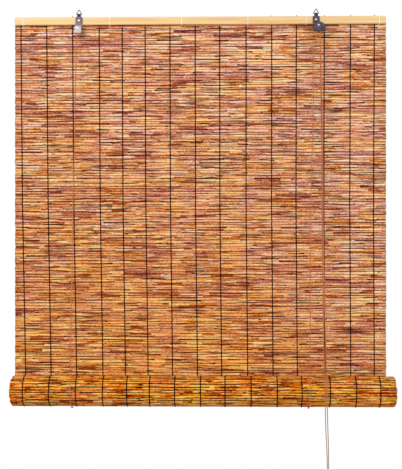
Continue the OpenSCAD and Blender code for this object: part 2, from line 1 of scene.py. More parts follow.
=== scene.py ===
import math
import bpy
import bmesh
import numpy as np
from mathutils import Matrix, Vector


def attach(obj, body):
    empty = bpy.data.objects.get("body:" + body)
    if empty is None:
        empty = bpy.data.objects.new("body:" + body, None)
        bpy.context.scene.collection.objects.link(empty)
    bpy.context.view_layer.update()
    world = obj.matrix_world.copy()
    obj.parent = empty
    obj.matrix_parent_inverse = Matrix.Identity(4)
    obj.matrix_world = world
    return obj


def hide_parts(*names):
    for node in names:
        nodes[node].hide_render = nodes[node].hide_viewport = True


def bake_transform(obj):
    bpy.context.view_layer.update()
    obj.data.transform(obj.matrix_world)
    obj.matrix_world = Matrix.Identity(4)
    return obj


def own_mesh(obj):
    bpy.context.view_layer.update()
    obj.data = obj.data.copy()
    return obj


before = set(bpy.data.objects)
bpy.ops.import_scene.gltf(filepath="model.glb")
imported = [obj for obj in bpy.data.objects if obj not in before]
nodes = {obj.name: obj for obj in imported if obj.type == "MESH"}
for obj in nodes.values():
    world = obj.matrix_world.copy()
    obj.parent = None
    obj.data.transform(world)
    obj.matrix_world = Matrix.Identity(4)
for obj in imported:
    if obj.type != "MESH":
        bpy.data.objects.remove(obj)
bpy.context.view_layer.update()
MM = 0.001


# The blind's own sizes, in millimetres, with the names that they have in its source

run_gap, seat_gap = 0.3, 0.25

mat_w, mat_drop, mat_t, mat_shift = 1004.0, 1002.0, 5.6, 6.7
mat_left, mat_right = mat_shift - mat_w / 2, mat_shift + mat_w / 2
batten_y, batten_d, thread_t = 0.6, 9.0, 0.6
mat_y = batten_y + batten_d + thread_t + run_gap
mat_back = mat_y + mat_t
mat_mid = mat_y + mat_t / 2
mat_top = -18.1
rows = 143
pitch = mat_drop / rows
gap_count = 60
eye_row, tie_row = 2, 3
tie_at = [0.024, 0.257, 0.451, 0.629, 0.785, 0.98]

thread_left, thread_right, thread_lean = 16.6, 32.2, 14.0
thread_stray = [0, 2, 4, 8, 2, -4, -5, -5, -7, -4, -3, -5, 2, 4, 0]
threads = len(thread_stray)
thread_step = (mat_w - thread_left - thread_right) / (threads - 1)
tip_threads = (2, 10, 11, 12, 13, 14)

roll_z = mat_top - mat_drop
roll_r, roll_turns, turn_pitch = 44.5, 3.5, 6.5
roll_y = mat_back - roll_r
roll_creep, roll_extra = 8.7, 18.5
roll_left = mat_left + roll_creep - roll_extra / 2
roll_right = roll_left + mat_w + roll_extra
rows_a_turn = 32
row_angle = 360.0 / rows_a_turn
roll_stray = [4.5, 4.5, 6.5, 6.5, 9, 8, 8, 9, 8.5, 7, 7.5, 7, 7, 6.2, 6.2]

cord_r = 1.25
turn_r = 4.0
pulley, sheave = (-321.0, -50.5), (325.0, -43.5)
back_groove_y, front_groove_y = -5.55, -9.55
exit_z, run_end_z = -61.0, roll_z + seat_gap
wrap_r = roll_r + seat_gap + cord_r
front_wrap_y, back_wrap_y = roll_y - wrap_r, roll_y + wrap_r
left_run_x, right_run_x, pull_x = pulley[0] - turn_r, sheave[0] - turn_r, sheave[0] + turn_r
left_sling_x, right_sling_x = -333.0, 296.0
drape_y, drape_z = front_wrap_y - run_gap, roll_z + 4
knob_top_z = roll_z - 210
knob_h, knot_h = 34, 7
knot_z = knob_top_z - knob_h + 6.5
eye_r, eye_wire, eye_knot_h = 2.6, 1.6, 5
eye_z = mat_top - eye_row * pitch
eye_cord_y = mat_back + thread_t + run_gap + eye_wire / 2 + eye_r
back_top_z = eye_z - eye_r - eye_wire / 2 - eye_knot_h - 2 * seat_gap

lead = 50.0   # the cords' last stretch above the roll's middle, which goes up with the roll


# The camera, on a level line of sight a little to the right of square

yaw = math.radians(1.3)
distance = 2.97
focal_length, photo_height = 1100.0, 469.0   # in the photo's pixels
target = Vector((9.7, mat_y, -604.0)) * MM
camera_data = bpy.data.cameras.new("camera")
camera = bpy.data.objects.new("camera", camera_data)
bpy.context.scene.collection.objects.link(camera)
camera_data.sensor_width = 36.0
camera_data.lens = camera_data.sensor_width * focal_length / photo_height
camera_data.clip_end = 60.0
camera.location = target + distance * Vector((math.sin(yaw), -math.cos(yaw), 0.0))
camera.rotation_euler = (math.radians(90), 0.0, yaw)
bpy.context.scene.camera = camera


# Materials: helpers that add nodes to a tree

def material(name):
    made = bpy.data.materials.new(name)
    made.use_nodes = True
    tree = made.node_tree
    return made, tree, tree.nodes["Principled BSDF"]


def srgb(r, g, b):
    def one(c):
        c = c / 255.0
        return c / 12.92 if c <= 0.04045 else ((c + 0.055) / 1.055) ** 2.4
    return (one(r), one(g), one(b), 1.0)


def node(tree, kind, **values):
    made = tree.nodes.new(kind)
    for key, value in values.items():
        if key in made.inputs:
            made.inputs[key].default_value = value
        else:
            setattr(made, key, value)
    return made


def feed(tree, socket, value):
    """Give a socket a constant, or a link from another node."""
    if isinstance(value, (int, float, tuple)):
        socket.default_value = value
    else:
        tree.links.new(value, socket)


def ramp(tree, source, stops):
    made = tree.nodes.new("ShaderNodeValToRGB")
    elements = made.color_ramp.elements
    while len(elements) > len(stops):
        elements.remove(elements[-1])
    while len(elements) < len(stops):
        elements.new(0.5)
    for element, (at, colour) in zip(elements, stops):
        element.position = at
        element.color = colour
    tree.links.new(source, made.inputs[0])
    return made.outputs[0]


def maths(tree, kind, a, b, clamp=False):
    made = tree.nodes.new("ShaderNodeMath")
    made.operation = kind
    made.use_clamp = clamp
    feed(tree, made.inputs[0], a)
    feed(tree, made.inputs[1], b)
    return made.outputs[0]


def plus(tree, a, b, clamp=False):
    return maths(tree, "ADD", a, b, clamp)


def minus(tree, a, b, clamp=False):
    return maths(tree, "SUBTRACT", a, b, clamp)


def times(tree, a, b, clamp=False):
    return maths(tree, "MULTIPLY", a, b, clamp)


def past(tree, value, middle, gain, clamp=False):
    """How far a value is past a middle, times a gain."""
    return times(tree, minus(tree, value, middle), gain, clamp)


def mix(tree, share, a, b, blend="MIX"):
    made = tree.nodes.new("ShaderNodeMix")
    made.data_type = "RGBA"
    made.blend_type = blend
    for index, value in ((0, share), (6, a), (7, b)):
        feed(tree, made.inputs[index], value)
    return made.outputs[2]


def object_place(tree):
    return node(tree, "ShaderNodeTexCoord").outputs["Object"]


def split_up(tree, vector):
    made = node(tree, "ShaderNodeSeparateXYZ")
    tree.links.new(vector, made.inputs[0])
    return made.outputs


def noise(tree, scale, detail, rough):
    """Noise in the object's own metres, stretched by a scale for each axis."""
    mapping = node(tree, "ShaderNodeMapping", Scale=scale)
    tree.links.new(object_place(tree), mapping.inputs["Vector"])
    made = node(tree, "ShaderNodeTexNoise", Scale=1.0, Detail=detail, Roughness=rough)
    tree.links.new(mapping.outputs["Vector"], made.inputs["Vector"])
    return made.outputs["Fac"]


def bump(tree, shader, height, strength, distance):
    made = node(tree, "ShaderNodeBump", Strength=strength, Distance=distance)
    tree.links.new(height, made.inputs["Height"])
    tree.links.new(made.outputs["Normal"], shader.inputs["Normal"])


def finish(tree, shader, colour, rough, uneven=None, share=0.0):
    """The colour, and the roughness with its share of an uneven pattern."""
    tree.links.new(colour, shader.inputs["Base Color"])
    if uneven is not None:
        rough = plus(tree, times(tree, uneven, share), rough)
    feed(tree, shader.inputs["Roughness"], rough)


# The materials. Scales are for X, Y and Z

def reed_material(name, light, warm, dark, streak, spill, split_at, light_drift=None):
    """Split reeds. The mesh gives each length of reed its tone, its hue and the painted shade of its
    joints.

    light and warm are the ramps of the two hues, and dark is the colour of splits and of the painted
    shade in the joints and openings between rows. streak is how much the tone varies along a reed,
    spill how far the painted shade of a joint spills over the reed's shoulder, and split_at how
    seldom a reed is split.
    light_drift holds the factors of the colour from the mat's top to its bottom and to its right:
    painted light.
    """
    made, tree, shader = material(name)
    facts = node(tree, "ShaderNodeAttribute", attribute_name="reed")
    split = node(tree, "ShaderNodeSeparateColor")
    tree.links.new(facts.outputs["Color"], split.inputs[0])
    tone, hue, joint = split.outputs[0], split.outputs[1], split.outputs[2]
    # joint is the painted shade in the joints and openings between rows, which spill widens over the
    # reed's shoulder
    bare = maths(tree, "POWER", minus(tree, 1.0, joint, clamp=True), spill)
    shade = minus(tree, 1.0, bare)
    # The hue belongs to bundles of reeds more than to one reed
    bundles = noise(tree, (13.0, 52.0, 52.0), 2.0, 0.5)
    hue = plus(tree, times(tree, hue, 0.4), past(tree, bundles, 0.4, 3.0), clamp=True)
    # Splits and scars: short dark marks with pointed ends, in two lengths
    for scale, start, slope, most in (((15.0, 230.0, 230.0), split_at, 6.0, 0.85),
                                      ((44.0, 260.0, 260.0), split_at + 0.07, 9.0, 1.0)):
        marks = past(tree, noise(tree, scale, 1.0, 0.4), start, slope, clamp=True)
        shade = maths(tree, "MAXIMUM", shade, times(tree, marks, most))
    fibres = noise(tree, (26.0, 900.0, 900.0), 5.0, 0.7)
    streaks = noise(tree, (24.0, 300.0, 300.0), 2.0, 0.5)
    specks = noise(tree, (190.0, 520.0, 520.0), 1.0, 0.5)
    spread = plus(tree, past(tree, fibres, 0.5, 0.7), past(tree, streaks, 0.5, streak))
    spread = plus(tree, spread, past(tree, specks, 0.5, 1.3))
    place = plus(tree, tone, spread, clamp=True)
    colour = mix(tree, hue, ramp(tree, place, light), ramp(tree, place, warm))
    if light_drift:
        # Painted light: paler and pinker at the top and at the right, and more golden lower down, as
        # the light falls on the mat
        axes = split_up(tree, object_place(tree))
        right = maths(tree, "MAXIMUM", minus(tree, axes[0], 0.1), 0.0)
        down = minus(tree, times(tree, axes[2], -1.0), times(tree, right, 1.2), clamp=True)
        colour = mix(tree, 1.0, colour, ramp(tree, down, light_drift), "MULTIPLY")
        colour = mix(tree, 1.0, colour, (1.4, 1.4, 1.4, 1.0), "MULTIPLY")
    # Painted shade in the joints and openings goes to dark, and to near-black where deepest; splits
    # take the same colours
    darks = ramp(tree, shade, [(0.55, dark), (1.0, srgb(26, 0, 0))])
    finish(tree, shader, mix(tree, shade, colour, darks), 0.5, fibres, 0.3)
    shader.inputs["Specular IOR Level"].default_value = 0.06
    bump(tree, shader, fibres, 0.35, 0.0004)
    return made


def reed_ramp(*colours):
    return list(zip((0.0, 0.3, 0.55, 0.8, 1.0), [srgb(*c) for c in colours]))


# dark is the painted shade between the mat's rows
reed = reed_material(
    "reed",
    light=reed_ramp((122, 56, 46), (174, 96, 76), (212, 132, 100), (248, 168, 128), (255, 208, 172)),
    warm=reed_ramp((142, 56, 8), (212, 114, 40), (248, 160, 78), (255, 190, 112), (255, 220, 154)),
    dark=srgb(112, 12, 0), streak=1.4, spill=1.8, split_at=0.575,
    # light_drift: painted light over the mat
    light_drift=[(0.1, (0.68, 0.76, 0.95, 1.0)), (0.4, (0.66, 0.69, 0.75, 1.0)),
            (0.6, (0.665, 0.665, 0.66, 1.0)), (0.8, (0.68, 0.65, 0.5, 1.0)),
            (0.95, (0.73, 0.715, 0.49, 1.0))])
# dark is the painted shade between the roll's rows
rolled = reed_material(
    "rolled_reed",
    light=reed_ramp((136, 34, 0), (204, 92, 0), (250, 148, 4), (255, 184, 40), (255, 212, 108)),
    warm=reed_ramp((120, 34, 2), (172, 66, 6), (222, 102, 26), (255, 144, 58), (255, 196, 122)),
    dark=srgb(88, 4, 0), streak=1.6, spill=2.5, split_at=0.545)


def wood_material(name, stops, rough, along):
    made, tree, shader = material(name)
    fine = noise(tree, along, 5.0, 0.65)
    wide = noise(tree, tuple(c * 0.22 for c in along), 3.0, 0.5)
    grain = plus(tree, times(tree, fine, 0.5), times(tree, wide, 0.5))
    finish(tree, shader, ramp(tree, grain, stops), rough, fine, 0.25)
    bump(tree, shader, fine, 0.2, 0.0003)
    return made


pale_wood = wood_material(
    "pale_wood",
    [(0.3, srgb(205, 160, 98)), (0.5, srgb(233, 195, 136)), (0.66, srgb(243, 213, 162))],
    0.42, along=(7.0, 420.0, 420.0))
knob_wood = wood_material(
    "knob_wood",
    [(0.3, srgb(136, 84, 42)), (0.5, srgb(184, 128, 76)), (0.68, srgb(208, 154, 100))],
    0.24, along=(380.0, 380.0, 26.0))


def thread_material(name, dark, pale):
    made, tree, shader = material(name)
    fuzz = noise(tree, (1500.0, 1500.0, 900.0), 3.0, 0.6)
    finish(tree, shader, ramp(tree, fuzz, [(0.35, dark), (0.7, pale)]), 0.9)
    shader.inputs["Specular IOR Level"].default_value = 0.05
    bump(tree, shader, fuzz, 0.6, 0.0004)
    return made


warp = thread_material("warp_thread", srgb(18, 3, 3), srgb(52, 18, 14))


def cord_material(name, low, high, rim_light=None):
    """Braid: two sets of strands that cross. In the cord's own map, once round it is 1 across
    and 1 along. rim_light holds low and high below the roll: painted light, where the light comes
    round the cord."""
    made, tree, shader = material(name)
    around, along, _ = split_up(tree, node(tree, "ShaderNodeUVMap", uv_map="cord").outputs[0])
    strands = []
    for sign in (1.0, -1.0):
        line = plus(tree, times(tree, around, 4.0 * sign), times(tree, along, 4.0))
        swing = maths(tree, "SINE", times(tree, line, math.pi), 0.0)
        strands.append(maths(tree, "ABSOLUTE", swing, 0.0))
    height = maths(tree, "MAXIMUM", *strands)
    fuzz = noise(tree, (2200.0, 2200.0, 2200.0), 2.0, 0.5)
    # The strands are darker in the hollows between them: painted shade, with fuzz
    tone = plus(tree, times(tree, height, 0.6), times(tree, fuzz, 0.4))
    colour = ramp(tree, tone, [(0.3, low), (0.85, high)])
    # Painted light below the roll
    if rim_light:
        z = split_up(tree, object_place(tree))[2]
        below = times(tree, minus(tree, -1.052, z), 40.0, clamp=True)
        colour = mix(tree, below, colour, ramp(tree, tone, list(zip((0.3, 0.85), rim_light))))
    finish(tree, shader, colour, 0.78)
    bump(tree, shader, height, 0.7, 0.0003)
    return made


cord_terracotta = cord_material("cord_terracotta", srgb(150, 70, 32), srgb(208, 122, 68))
cord_pull = cord_material("cord_pull", srgb(146, 68, 34), srgb(204, 118, 70),
                          rim_light=(srgb(138, 96, 92), srgb(190, 150, 146)))


def metal_material(name, low, high, rough):
    made, tree, shader = material(name)
    marks = noise(tree, (160.0, 160.0, 1600.0), 4.0, 0.6)
    cloud = noise(tree, (120.0, 120.0, 120.0), 3.0, 0.5)
    finish(tree, shader, ramp(tree, cloud, [(0.3, low), (0.7, high)]), rough, marks, 0.22)
    shader.inputs["Metallic"].default_value = 1.0
    bump(tree, shader, marks, 0.1, 0.0002)
    return made


steel = metal_material("dull_steel", srgb(80, 70, 76), srgb(108, 95, 102), 0.34)
dark_steel = metal_material("dark_steel", srgb(60, 54, 62), srgb(90, 84, 92), 0.32)
zinc = metal_material("zinc", srgb(136, 129, 130), srgb(172, 165, 166), 0.4)
nickel = metal_material("nickel", srgb(186, 184, 178), srgb(226, 224, 218), 0.18)


def tape_material():
    made, tree, shader = material("black_tape")
    weave = times(tree, noise(tree, (2600.0, 500.0, 500.0), 2.0, 0.5),
                  noise(tree, (500.0, 500.0, 2600.0), 2.0, 0.5))
    stops = [(0.1, srgb(14, 14, 16)), (0.5, srgb(58, 56, 58))]
    finish(tree, shader, ramp(tree, weave, stops), 0.8)
    bump(tree, shader, weave, 0.6, 0.0004)
    return made


def tie_material():
    made, tree, shader = material("milky_tie")
    cloud = noise(tree, (300.0, 300.0, 300.0), 3.0, 0.5)
    stops = [(0.3, srgb(232, 230, 222)), (0.7, srgb(250, 249, 244))]
    finish(tree, shader, ramp(tree, cloud, stops), 0.3, cloud, 0.2)
    shader.inputs["Subsurface Weight"].default_value = 0.15
    shader.inputs["Subsurface Radius"].default_value = (0.001, 0.001, 0.001)
    return made


tape = tape_material()
milky = tie_material()


# Mesh building

plain = np.array([0.5, 0, 0, 1.0])   # a rod's facts where its material doesn't read them


class Rods:
    """Collects rods, each a row of rings with the same number of points, into one mesh.

    A point's facts are a reed's tone, its hue, the painted shade of its joints, and 1."""

    def __init__(self):
        self.points, self.facts, self.maps, self.faces, self.count = [], [], [], [], 0

    def add(self, rings, facts, along=None):
        n, m, _ = rings.shape
        base = self.count
        self.points.append(rings.reshape(-1, 3))
        self.facts.append(np.broadcast_to(facts, (n, m, 4)).reshape(-1, 4))
        i = np.arange(n - 1)[:, None] * m
        j = np.arange(m)[None, :]
        a, b = base + i + j, base + i + (j + 1) % m
        self.faces.extend(np.stack([a, b, b + m, a + m], -1).reshape(-1, 4).tolist())
        self.faces.append(list(range(base + m - 1, base - 1, -1)))
        self.faces.append(list(range(base + (n - 1) * m, base + n * m)))
        if along is not None:
            u = np.arange(m + 1) / m
            for v0, v1 in zip(along[:-1], along[1:]):
                for u0, u1 in zip(u[:-1], u[1:]):
                    self.maps.extend([(u0, v0), (u1, v0), (u1, v1), (u0, v1)])
            self.maps.extend([(0.5, along[0])] * m + [(0.5, along[-1])] * m)
        self.count += n * m

    def build(self, name, look):
        mesh = bpy.data.meshes.new(name)
        points = np.concatenate(self.points) * MM
        mesh.from_pydata(points.tolist(), [], self.faces)
        if self.maps:
            layer = mesh.uv_layers.new(name="cord")
            layer.data.foreach_set("uv", np.array(self.maps, np.float32).reshape(-1))
        facts = np.concatenate(self.facts).astype(np.float32)
        colours = mesh.color_attributes.new("reed", "FLOAT_COLOR", "POINT")
        colours.data.foreach_set("color", facts.reshape(-1))
        mesh.polygons.foreach_set("use_smooth", np.ones(len(mesh.polygons), bool))
        mesh.materials.append(look)
        work = bmesh.new()
        work.from_mesh(mesh)
        if work.calc_volume(signed=True) < 0:
            bmesh.ops.reverse_faces(work, faces=work.faces)
            work.to_mesh(mesh)
        work.free()
        mesh.update()
        made = bpy.data.objects.new(name, mesh)
        bpy.context.scene.collection.objects.link(made)
        return made


def sweep(path, sides, half_w, half_t=None):
    """Rings round a path of points. half_w lies along X where the path doesn't."""
    p = np.array(path, float)
    t = np.empty_like(p)
    t[1:-1] = p[2:] - p[:-2]
    t[0], t[-1] = p[1] - p[0], p[-1] - p[-2]
    t /= np.linalg.norm(t, axis=1)[:, None]
    side = np.zeros_like(p)
    a = np.array([1.0, 0, 0]) if abs(t[0][0]) < 0.8 else np.array([0, 1.0, 0])
    for i in range(len(p)):
        a = a - np.dot(a, t[i]) * t[i]
        a /= np.linalg.norm(a)
        side[i] = a
    up = np.cross(t, side)
    angle = (np.arange(sides) * 2 * math.pi / sides)[None, :, None]
    half_t = half_w if half_t is None else half_t
    return p[:, None] + half_w * np.cos(angle) * side[:, None] + half_t * np.sin(angle) * up[:, None]


def way_along(path):
    """How far along a path each of its points is."""
    return np.concatenate([[0], np.cumsum(np.linalg.norm(np.diff(path, axis=0), axis=1))])


def smooth_path(points, step):
    """Even points along a smooth curve through the given ones."""
    p = np.array(points, float)
    d = way_along(p)
    at = np.linspace(0, d[-1], max(2, int(round(d[-1] / step)) + 1))
    slopes = np.gradient(p, d, axis=0)
    k = np.clip(np.searchsorted(d, at, "right") - 1, 0, len(p) - 2)
    h = (d[k + 1] - d[k])[:, None]
    s = ((at - d[k]) / (d[k + 1] - d[k]))[:, None]
    return ((2 * s**3 - 3 * s**2 + 1) * p[k] + (s**3 - 2 * s**2 + s) * h * slopes[k]
            + (-2 * s**3 + 3 * s**2) * p[k + 1] + (s**3 - s**2) * h * slopes[k + 1])


def hang(piece):
    """Keep a piece at the head, with a mesh of its own."""
    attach(piece, "head")
    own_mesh(piece)


# Cords

run_step, back_step, tail_step = 24, 40, 9   # between the points of a cord's path


def cord_piece(name, path, look, stands_for):
    rods = Rods()
    rods.add(sweep(path, 10, cord_r), plain, along=way_along(path) / (4 * cord_r))
    made = rods.build(name, look)
    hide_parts(stands_for)
    return made


def cut_at(path, z):
    """The parts of a path that goes down, above and below a height."""
    clear = 3   # no point of the path stays nearer to the cut than this
    at = np.array([np.interp(z, path[::-1, 2], path[::-1, k]) for k in range(3)])
    return (np.concatenate([path[path[:, 2] > z + clear], [at]]),
            np.concatenate([[at], path[path[:, 2] < z - clear]]))


# The pull cords: from the lock over the front of the roll, and on to the knot in the knob. Each
# point is a step from pull_x, with its height in the first list, and with its depth under the
# roll's middle in the second

pull_routes = {
    "left": (back_groove_y,
             [(0, exit_z), (1.8, -300), (2.9, -700), (6.2, -960), (7.5, drape_z)],
             [(7.5, -3.6), (7.8, 28), (9, 88), (11.5, 139), (13.4, 195), (13.6, 210)],
             ["cord_knob", "knob_knot"]),
    "right": (front_groove_y,
              [(0, exit_z), (4.4, -300), (6.1, -700), (11.2, -960), (12.5, drape_z)],
              [(12.5, -3.6), (13, 28), (14.4, 88), (16, 139), (16.4, 195), (16.4, 210)],
              []),
}
for which, (groove_y, above, below, ends_in) in pull_routes.items():
    run = [(pull_x + dx, groove_y + (drape_y - groove_y) * (exit_z - z) / (exit_z - roll_z), z)
           for dx, z in above]
    upper, last = cut_at(smooth_path(run, run_step), drape_z + lead)
    piece = cord_piece(f"pull_cord_{which}_upper", upper, cord_pull, f"pull_cord_{which}")
    hang(piece)

    run_end_y = run[-1][1]
    tail = [(pull_x + dx, run_end_y if down < 0 else drape_y, roll_z - down) for dx, down in below]
    tail.append((pull_x + below[-1][0], drape_y, knot_z + (knot_h + seat_gap)))
    tail = smooth_path(tail, tail_step)
    lower = np.concatenate([last[:-1], tail])
    piece = cord_piece(f"pull_cord_{which}_lower", lower, cord_pull, f"pull_tail_{which}")
    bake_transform(piece)


# The lift cords, with their half turns under the roll. A route's points are shares of the way
# down, and of the way across that the cord has gone there

left_route = [(0, 0), (0.47, 0.55), (0.75, 0.8), (1, 1)]
right_route = [(0, 0), (0.035, 0.25), (0.23, 0.46), (0.455, 0.77), (0.9, 0.93), (1, 1)]
for which, top_x, top_y, end_x, route in (
    ("left", left_run_x, back_groove_y, left_sling_x, left_route),
    ("right", right_run_x, front_groove_y, right_sling_x, right_route),
):
    run = [(top_x + (end_x - top_x) * across, top_y + (front_wrap_y - top_y) * down,
            exit_z + (run_end_z - exit_z) * down) for down, across in route]
    run, last = cut_at(smooth_path(run, run_step), run_end_z + lead)
    piece = cord_piece(f"lift_cord_{which}_front", run, cord_terracotta, f"lift_cord_{which}")
    hang(piece)

    behind = [(end_x, eye_cord_y, back_top_z),
              (end_x, (eye_cord_y + back_wrap_y) / 2, (back_top_z + run_end_z) / 2),
              (end_x, back_wrap_y, run_end_z)]
    piece = cord_piece(f"lift_cord_{which}_back", smooth_path(behind, back_step), cord_terracotta,
                       f"back_cord_{which}")
    hang(piece)

    turn = [(end_x, roll_y + wrap_r * math.cos(a), roll_z - wrap_r * math.sin(a))
            for a in np.linspace(0, math.pi, 33)]
    piece = cord_piece(f"lift_cord_{which}_turn", np.concatenate([turn, last[-2::-1]]),
                       cord_terracotta, f"cord_sling_{which}")
    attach(piece, "slings")


# The cords over the pulley and the lock's sheave

def bend_points(at, y, start, end, n=9):
    return [(at[0] + turn_r * math.cos(a), y, at[1] + turn_r * math.sin(a))
            for a in np.radians(np.linspace(start, end, n))]


rise = math.degrees(math.atan2(sheave[1] - pulley[1], sheave[0] - pulley[0]))
first = np.array(bend_points(pulley, back_groove_y, 180, 90 + rise))
second = np.array(bend_points(sheave, back_groove_y, 90 + rise, 0))
span = [first[-1] + (second[0] - first[-1]) * k / 24 for k in range(1, 24)]
across = np.concatenate([[(left_run_x, back_groove_y, exit_z + seat_gap)], first, span, second,
                         [(pull_x, back_groove_y, exit_z + seat_gap)]])
piece = cord_piece("cord_across", across, cord_terracotta, "cross_cord")
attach(piece, "head")
over = np.concatenate([[(right_run_x, front_groove_y, exit_z + seat_gap)],
                       bend_points(sheave, front_groove_y, 180, 0, 17),
                       [(pull_x, front_groove_y, exit_z + seat_gap)]])
piece = cord_piece("cord_over_sheave", over, cord_terracotta, "lock_cord")
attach(piece, "head")


# Reeds

reed_half_t = 2.397                     # from a reed's middle to its front
section_front = np.array([0.93, 0.0, -0.93, -0.93, 0.0, 0.93])   # shares of reed_half_t
section_down = np.array([0.5, 1.0, 0.5, -0.5, -1.0, -0.5])       # shares of half its height
rims = np.abs(section_down) > 0.9
rim_front = 0.62                        # where rows touch, their rims stand nearly at the front
soft_end = 1.2                          # half of the length in which an opening begins or ends
closed_gap = 0.03                       # between rows that touch
shade_end_l = 4.5                            # painted shade at the heavy end of an opening, where it gapes most
strip_half_h, strip_half_t = 1.9, 0.45  # the strip behind a joint between rows, dark with painted shade

chance = np.random.RandomState(11)


def between(low, high):
    return chance.uniform(low, high)


class Edge:
    """The line between two rows: where it wanders, how dark its painted shade is, and the openings
    along it.

    An opening, or dash, is its start, its end, how heavy its painted shade is at each, and how wide
    it gapes.
    """

    step = 40.0                     # between the points of its curves
    before, after = 60.0, 180.0     # how far the curves go on past the row's ends
    mean_length, apart = 47, 5      # of its openings, and between one and the next at least

    def __init__(self, at, x0, x1, a_metre, fixed=False):
        self.at = at + (0 if fixed else between(-1.8, 1.8))
        self.x0 = x0 - self.before
        stretches = int((x1 - x0 + self.before + self.after) / self.step) + 4
        self.waves = chance.uniform(-1.3, 1.3, stretches) * (0.1 if fixed else 1)
        # How dark the painted shade along the seam is
        self.seams = chance.beta(0.5, 0.6, stretches)
        self.dashes = []
        x = x0 + between(0, 80)
        while x < x1 and a_metre:
            length = between(16, 120) * between(0.4, 1.0)
            heavy, share = between(0.35, 1.0), between(0.0, 1.0)
            ends = (heavy, heavy * share) if chance.rand() < 0.5 else (heavy * share, heavy)
            self.dashes.append((x, x + length, *ends, between(0.05, 0.8) * heavy))
            x += length + chance.exponential(1000.0 / a_metre - self.mean_length) + self.apart

    def along_curve(self, x, values):
        s = (x - self.x0) / self.step
        k = np.floor(s).astype(int)
        t = s - k
        t = t * t * (3 - 2 * t)
        return values[k] * (1 - t) + values[k + 1] * t

    def place(self, x):
        return self.at + self.along_curve(x, self.waves)

    def seam(self, x):
        return self.along_curve(x, self.seams)

    def dark_and_gap(self, x):
        # The painted shade along the openings, and how wide they gape
        dark, gap = np.zeros_like(x), np.full_like(x, closed_gap)
        for a, b, at_a, at_b, wide in self.dashes:
            inside = np.minimum(x - a + soft_end, b + soft_end - x)
            share = np.clip(inside / (2 * soft_end), 0, 1)
            heavy = at_a + (at_b - at_a) * np.clip((x - a) / (b - a), 0, 1)
            heavy_end = a if at_a > at_b else b
            # The heavy end of an opening gapes most and is darkest: painted shade
            knot = np.exp(-(((x - heavy_end) / shade_end_l) ** 2)) if at_a != at_b else 0.0
            dark = np.maximum(dark, share * np.minimum(heavy + 0.6 * knot, 1.0))
            gap = np.maximum(gap, wide * share * (0.35 + 0.9 * heavy + 0.9 * knot))
        return dark, gap


def stations_of_row(marks, x0, x1):
    """The marks that a row keeps, and its stations: one on each side of a mark, and no more
    than 45 mm apart."""
    kept = [x0 + 1.0]
    for m in marks:
        if m - kept[-1] > 5.8 and m < x1 - 5:
            kept.append(m)
    kept = kept[1:]
    stations = [x0]
    for m in kept + [x1 + soft_end]:
        extra = int((m - soft_end - stations[-1]) / 45.0)
        if extra:
            stations += list(np.linspace(stations[-1], m - soft_end, extra + 2)[1:-1])
        stations += [m - soft_end] if m > x1 else [m - soft_end, m + soft_end]
    return kept, np.array(stations)


def lengths_between(x, marks, x0, level, spread):
    """For each station, the tone, hue and shift of the length of reed that it lies on."""
    starts, last = [], x0
    for m in marks:
        if m - last > 16 and chance.rand() < 0.8:
            starts.append(m)
            last = m
    piece = np.searchsorted(starts, x)
    n = len(starts) + 1
    tone = np.clip(chance.normal(level, spread, n), 0.0, 1.0)
    low = chance.rand(n) < 0.1
    tone[low] = chance.uniform(0.0, 0.2, low.sum())
    return tone[piece], chance.beta(0.7, 0.7, n)[piece], chance.uniform(-0.22, 0.22, n)[piece]


def reeds_of_row(rods, top, bottom, x0, x1, to_space, level, spread, seam):
    """One row of reeds from edge to edge. Its upper and its lower half have lengths of their own.

    level and spread are of the reeds' tone, and seam is how dark the painted shade in the joint
    between rows is.
    """
    marks = []
    for a, b, at_a, at_b, _ in top.dashes + bottom.dashes:
        marks += [a, b]
        if at_a != at_b and b - a > 14:
            marks.append(a + 6 if at_a > at_b else b - 6)
    kept, x = stations_of_row(sorted(marks), x0, x1)
    halves = [lengths_between(x, kept, x0, level, spread) for _ in range(2)]
    dark_top, gap_top = top.dark_and_gap(x)
    dark_low, gap_low = bottom.dark_and_gap(x)
    high = top.place(x) + gap_top
    height = np.maximum(bottom.place(x) - gap_low - high, 0.8)
    upper = section_down[None] < 0

    def by_half(top_values, low_values):
        return np.where(upper, top_values[:, None], low_values[:, None])

    dark = by_half(dark_top, dark_low)
    u = (high + height / 2)[:, None] + height[:, None] / 2 * section_down[None]
    front = section_front[None] + rims[None] * rim_front * (1 - dark)
    d = halves[0][2][:, None] + reed_half_t * front
    seams = seam * by_half(top.seam(x), bottom.seam(x))
    facts = np.ones(u.shape + (4,))
    # Painted highlight: a reed is paler beside the painted shade of an opening
    facts[..., 0] = by_half(halves[0][0], halves[1][0]) + 0.26 * dark
    facts[..., 1] = by_half(halves[0][1], halves[1][1])
    # Painted shade on the rims, from the seams and the openings, and a little over the reed's face
    facts[..., 2] = np.clip(np.where(rims[None], np.maximum(seams, dark), 0.06 * dark), 0, 1)
    rods.add(to_space(np.broadcast_to(x[:, None], u.shape), u, d), facts)


def strip_behind(rods, edge, x0, x1, to_space, holes=()):
    """The strip that closes the joint between two rows, but for its holes, coloured as painted shade.
    """
    cuts = [x0 + 3] + [v for hole in sorted(holes) for v in hole] + [x1 - 3]
    for a, b in zip(cuts[::2], cuts[1::2]):
        if b - a < 4:
            continue
        x = np.linspace(a, b, max(2, int((b - a) / 50)) + 1)
        u = edge.place(x)[:, None] + strip_half_h * np.array([1, 1, -1, -1])[None]
        d = np.broadcast_to(strip_half_t * np.array([1, -1, -1, 1])[None], u.shape)
        # A low tone and a joint of 0.9: the strip's colour is painted shade
        facts = np.array([0.15, 0.5, 0.9, 1.0])
        rods.add(to_space(np.broadcast_to(x[:, None], u.shape), u, d), facts)


# The mat. Depths count from its middle towards the room, and heights downwards from its top

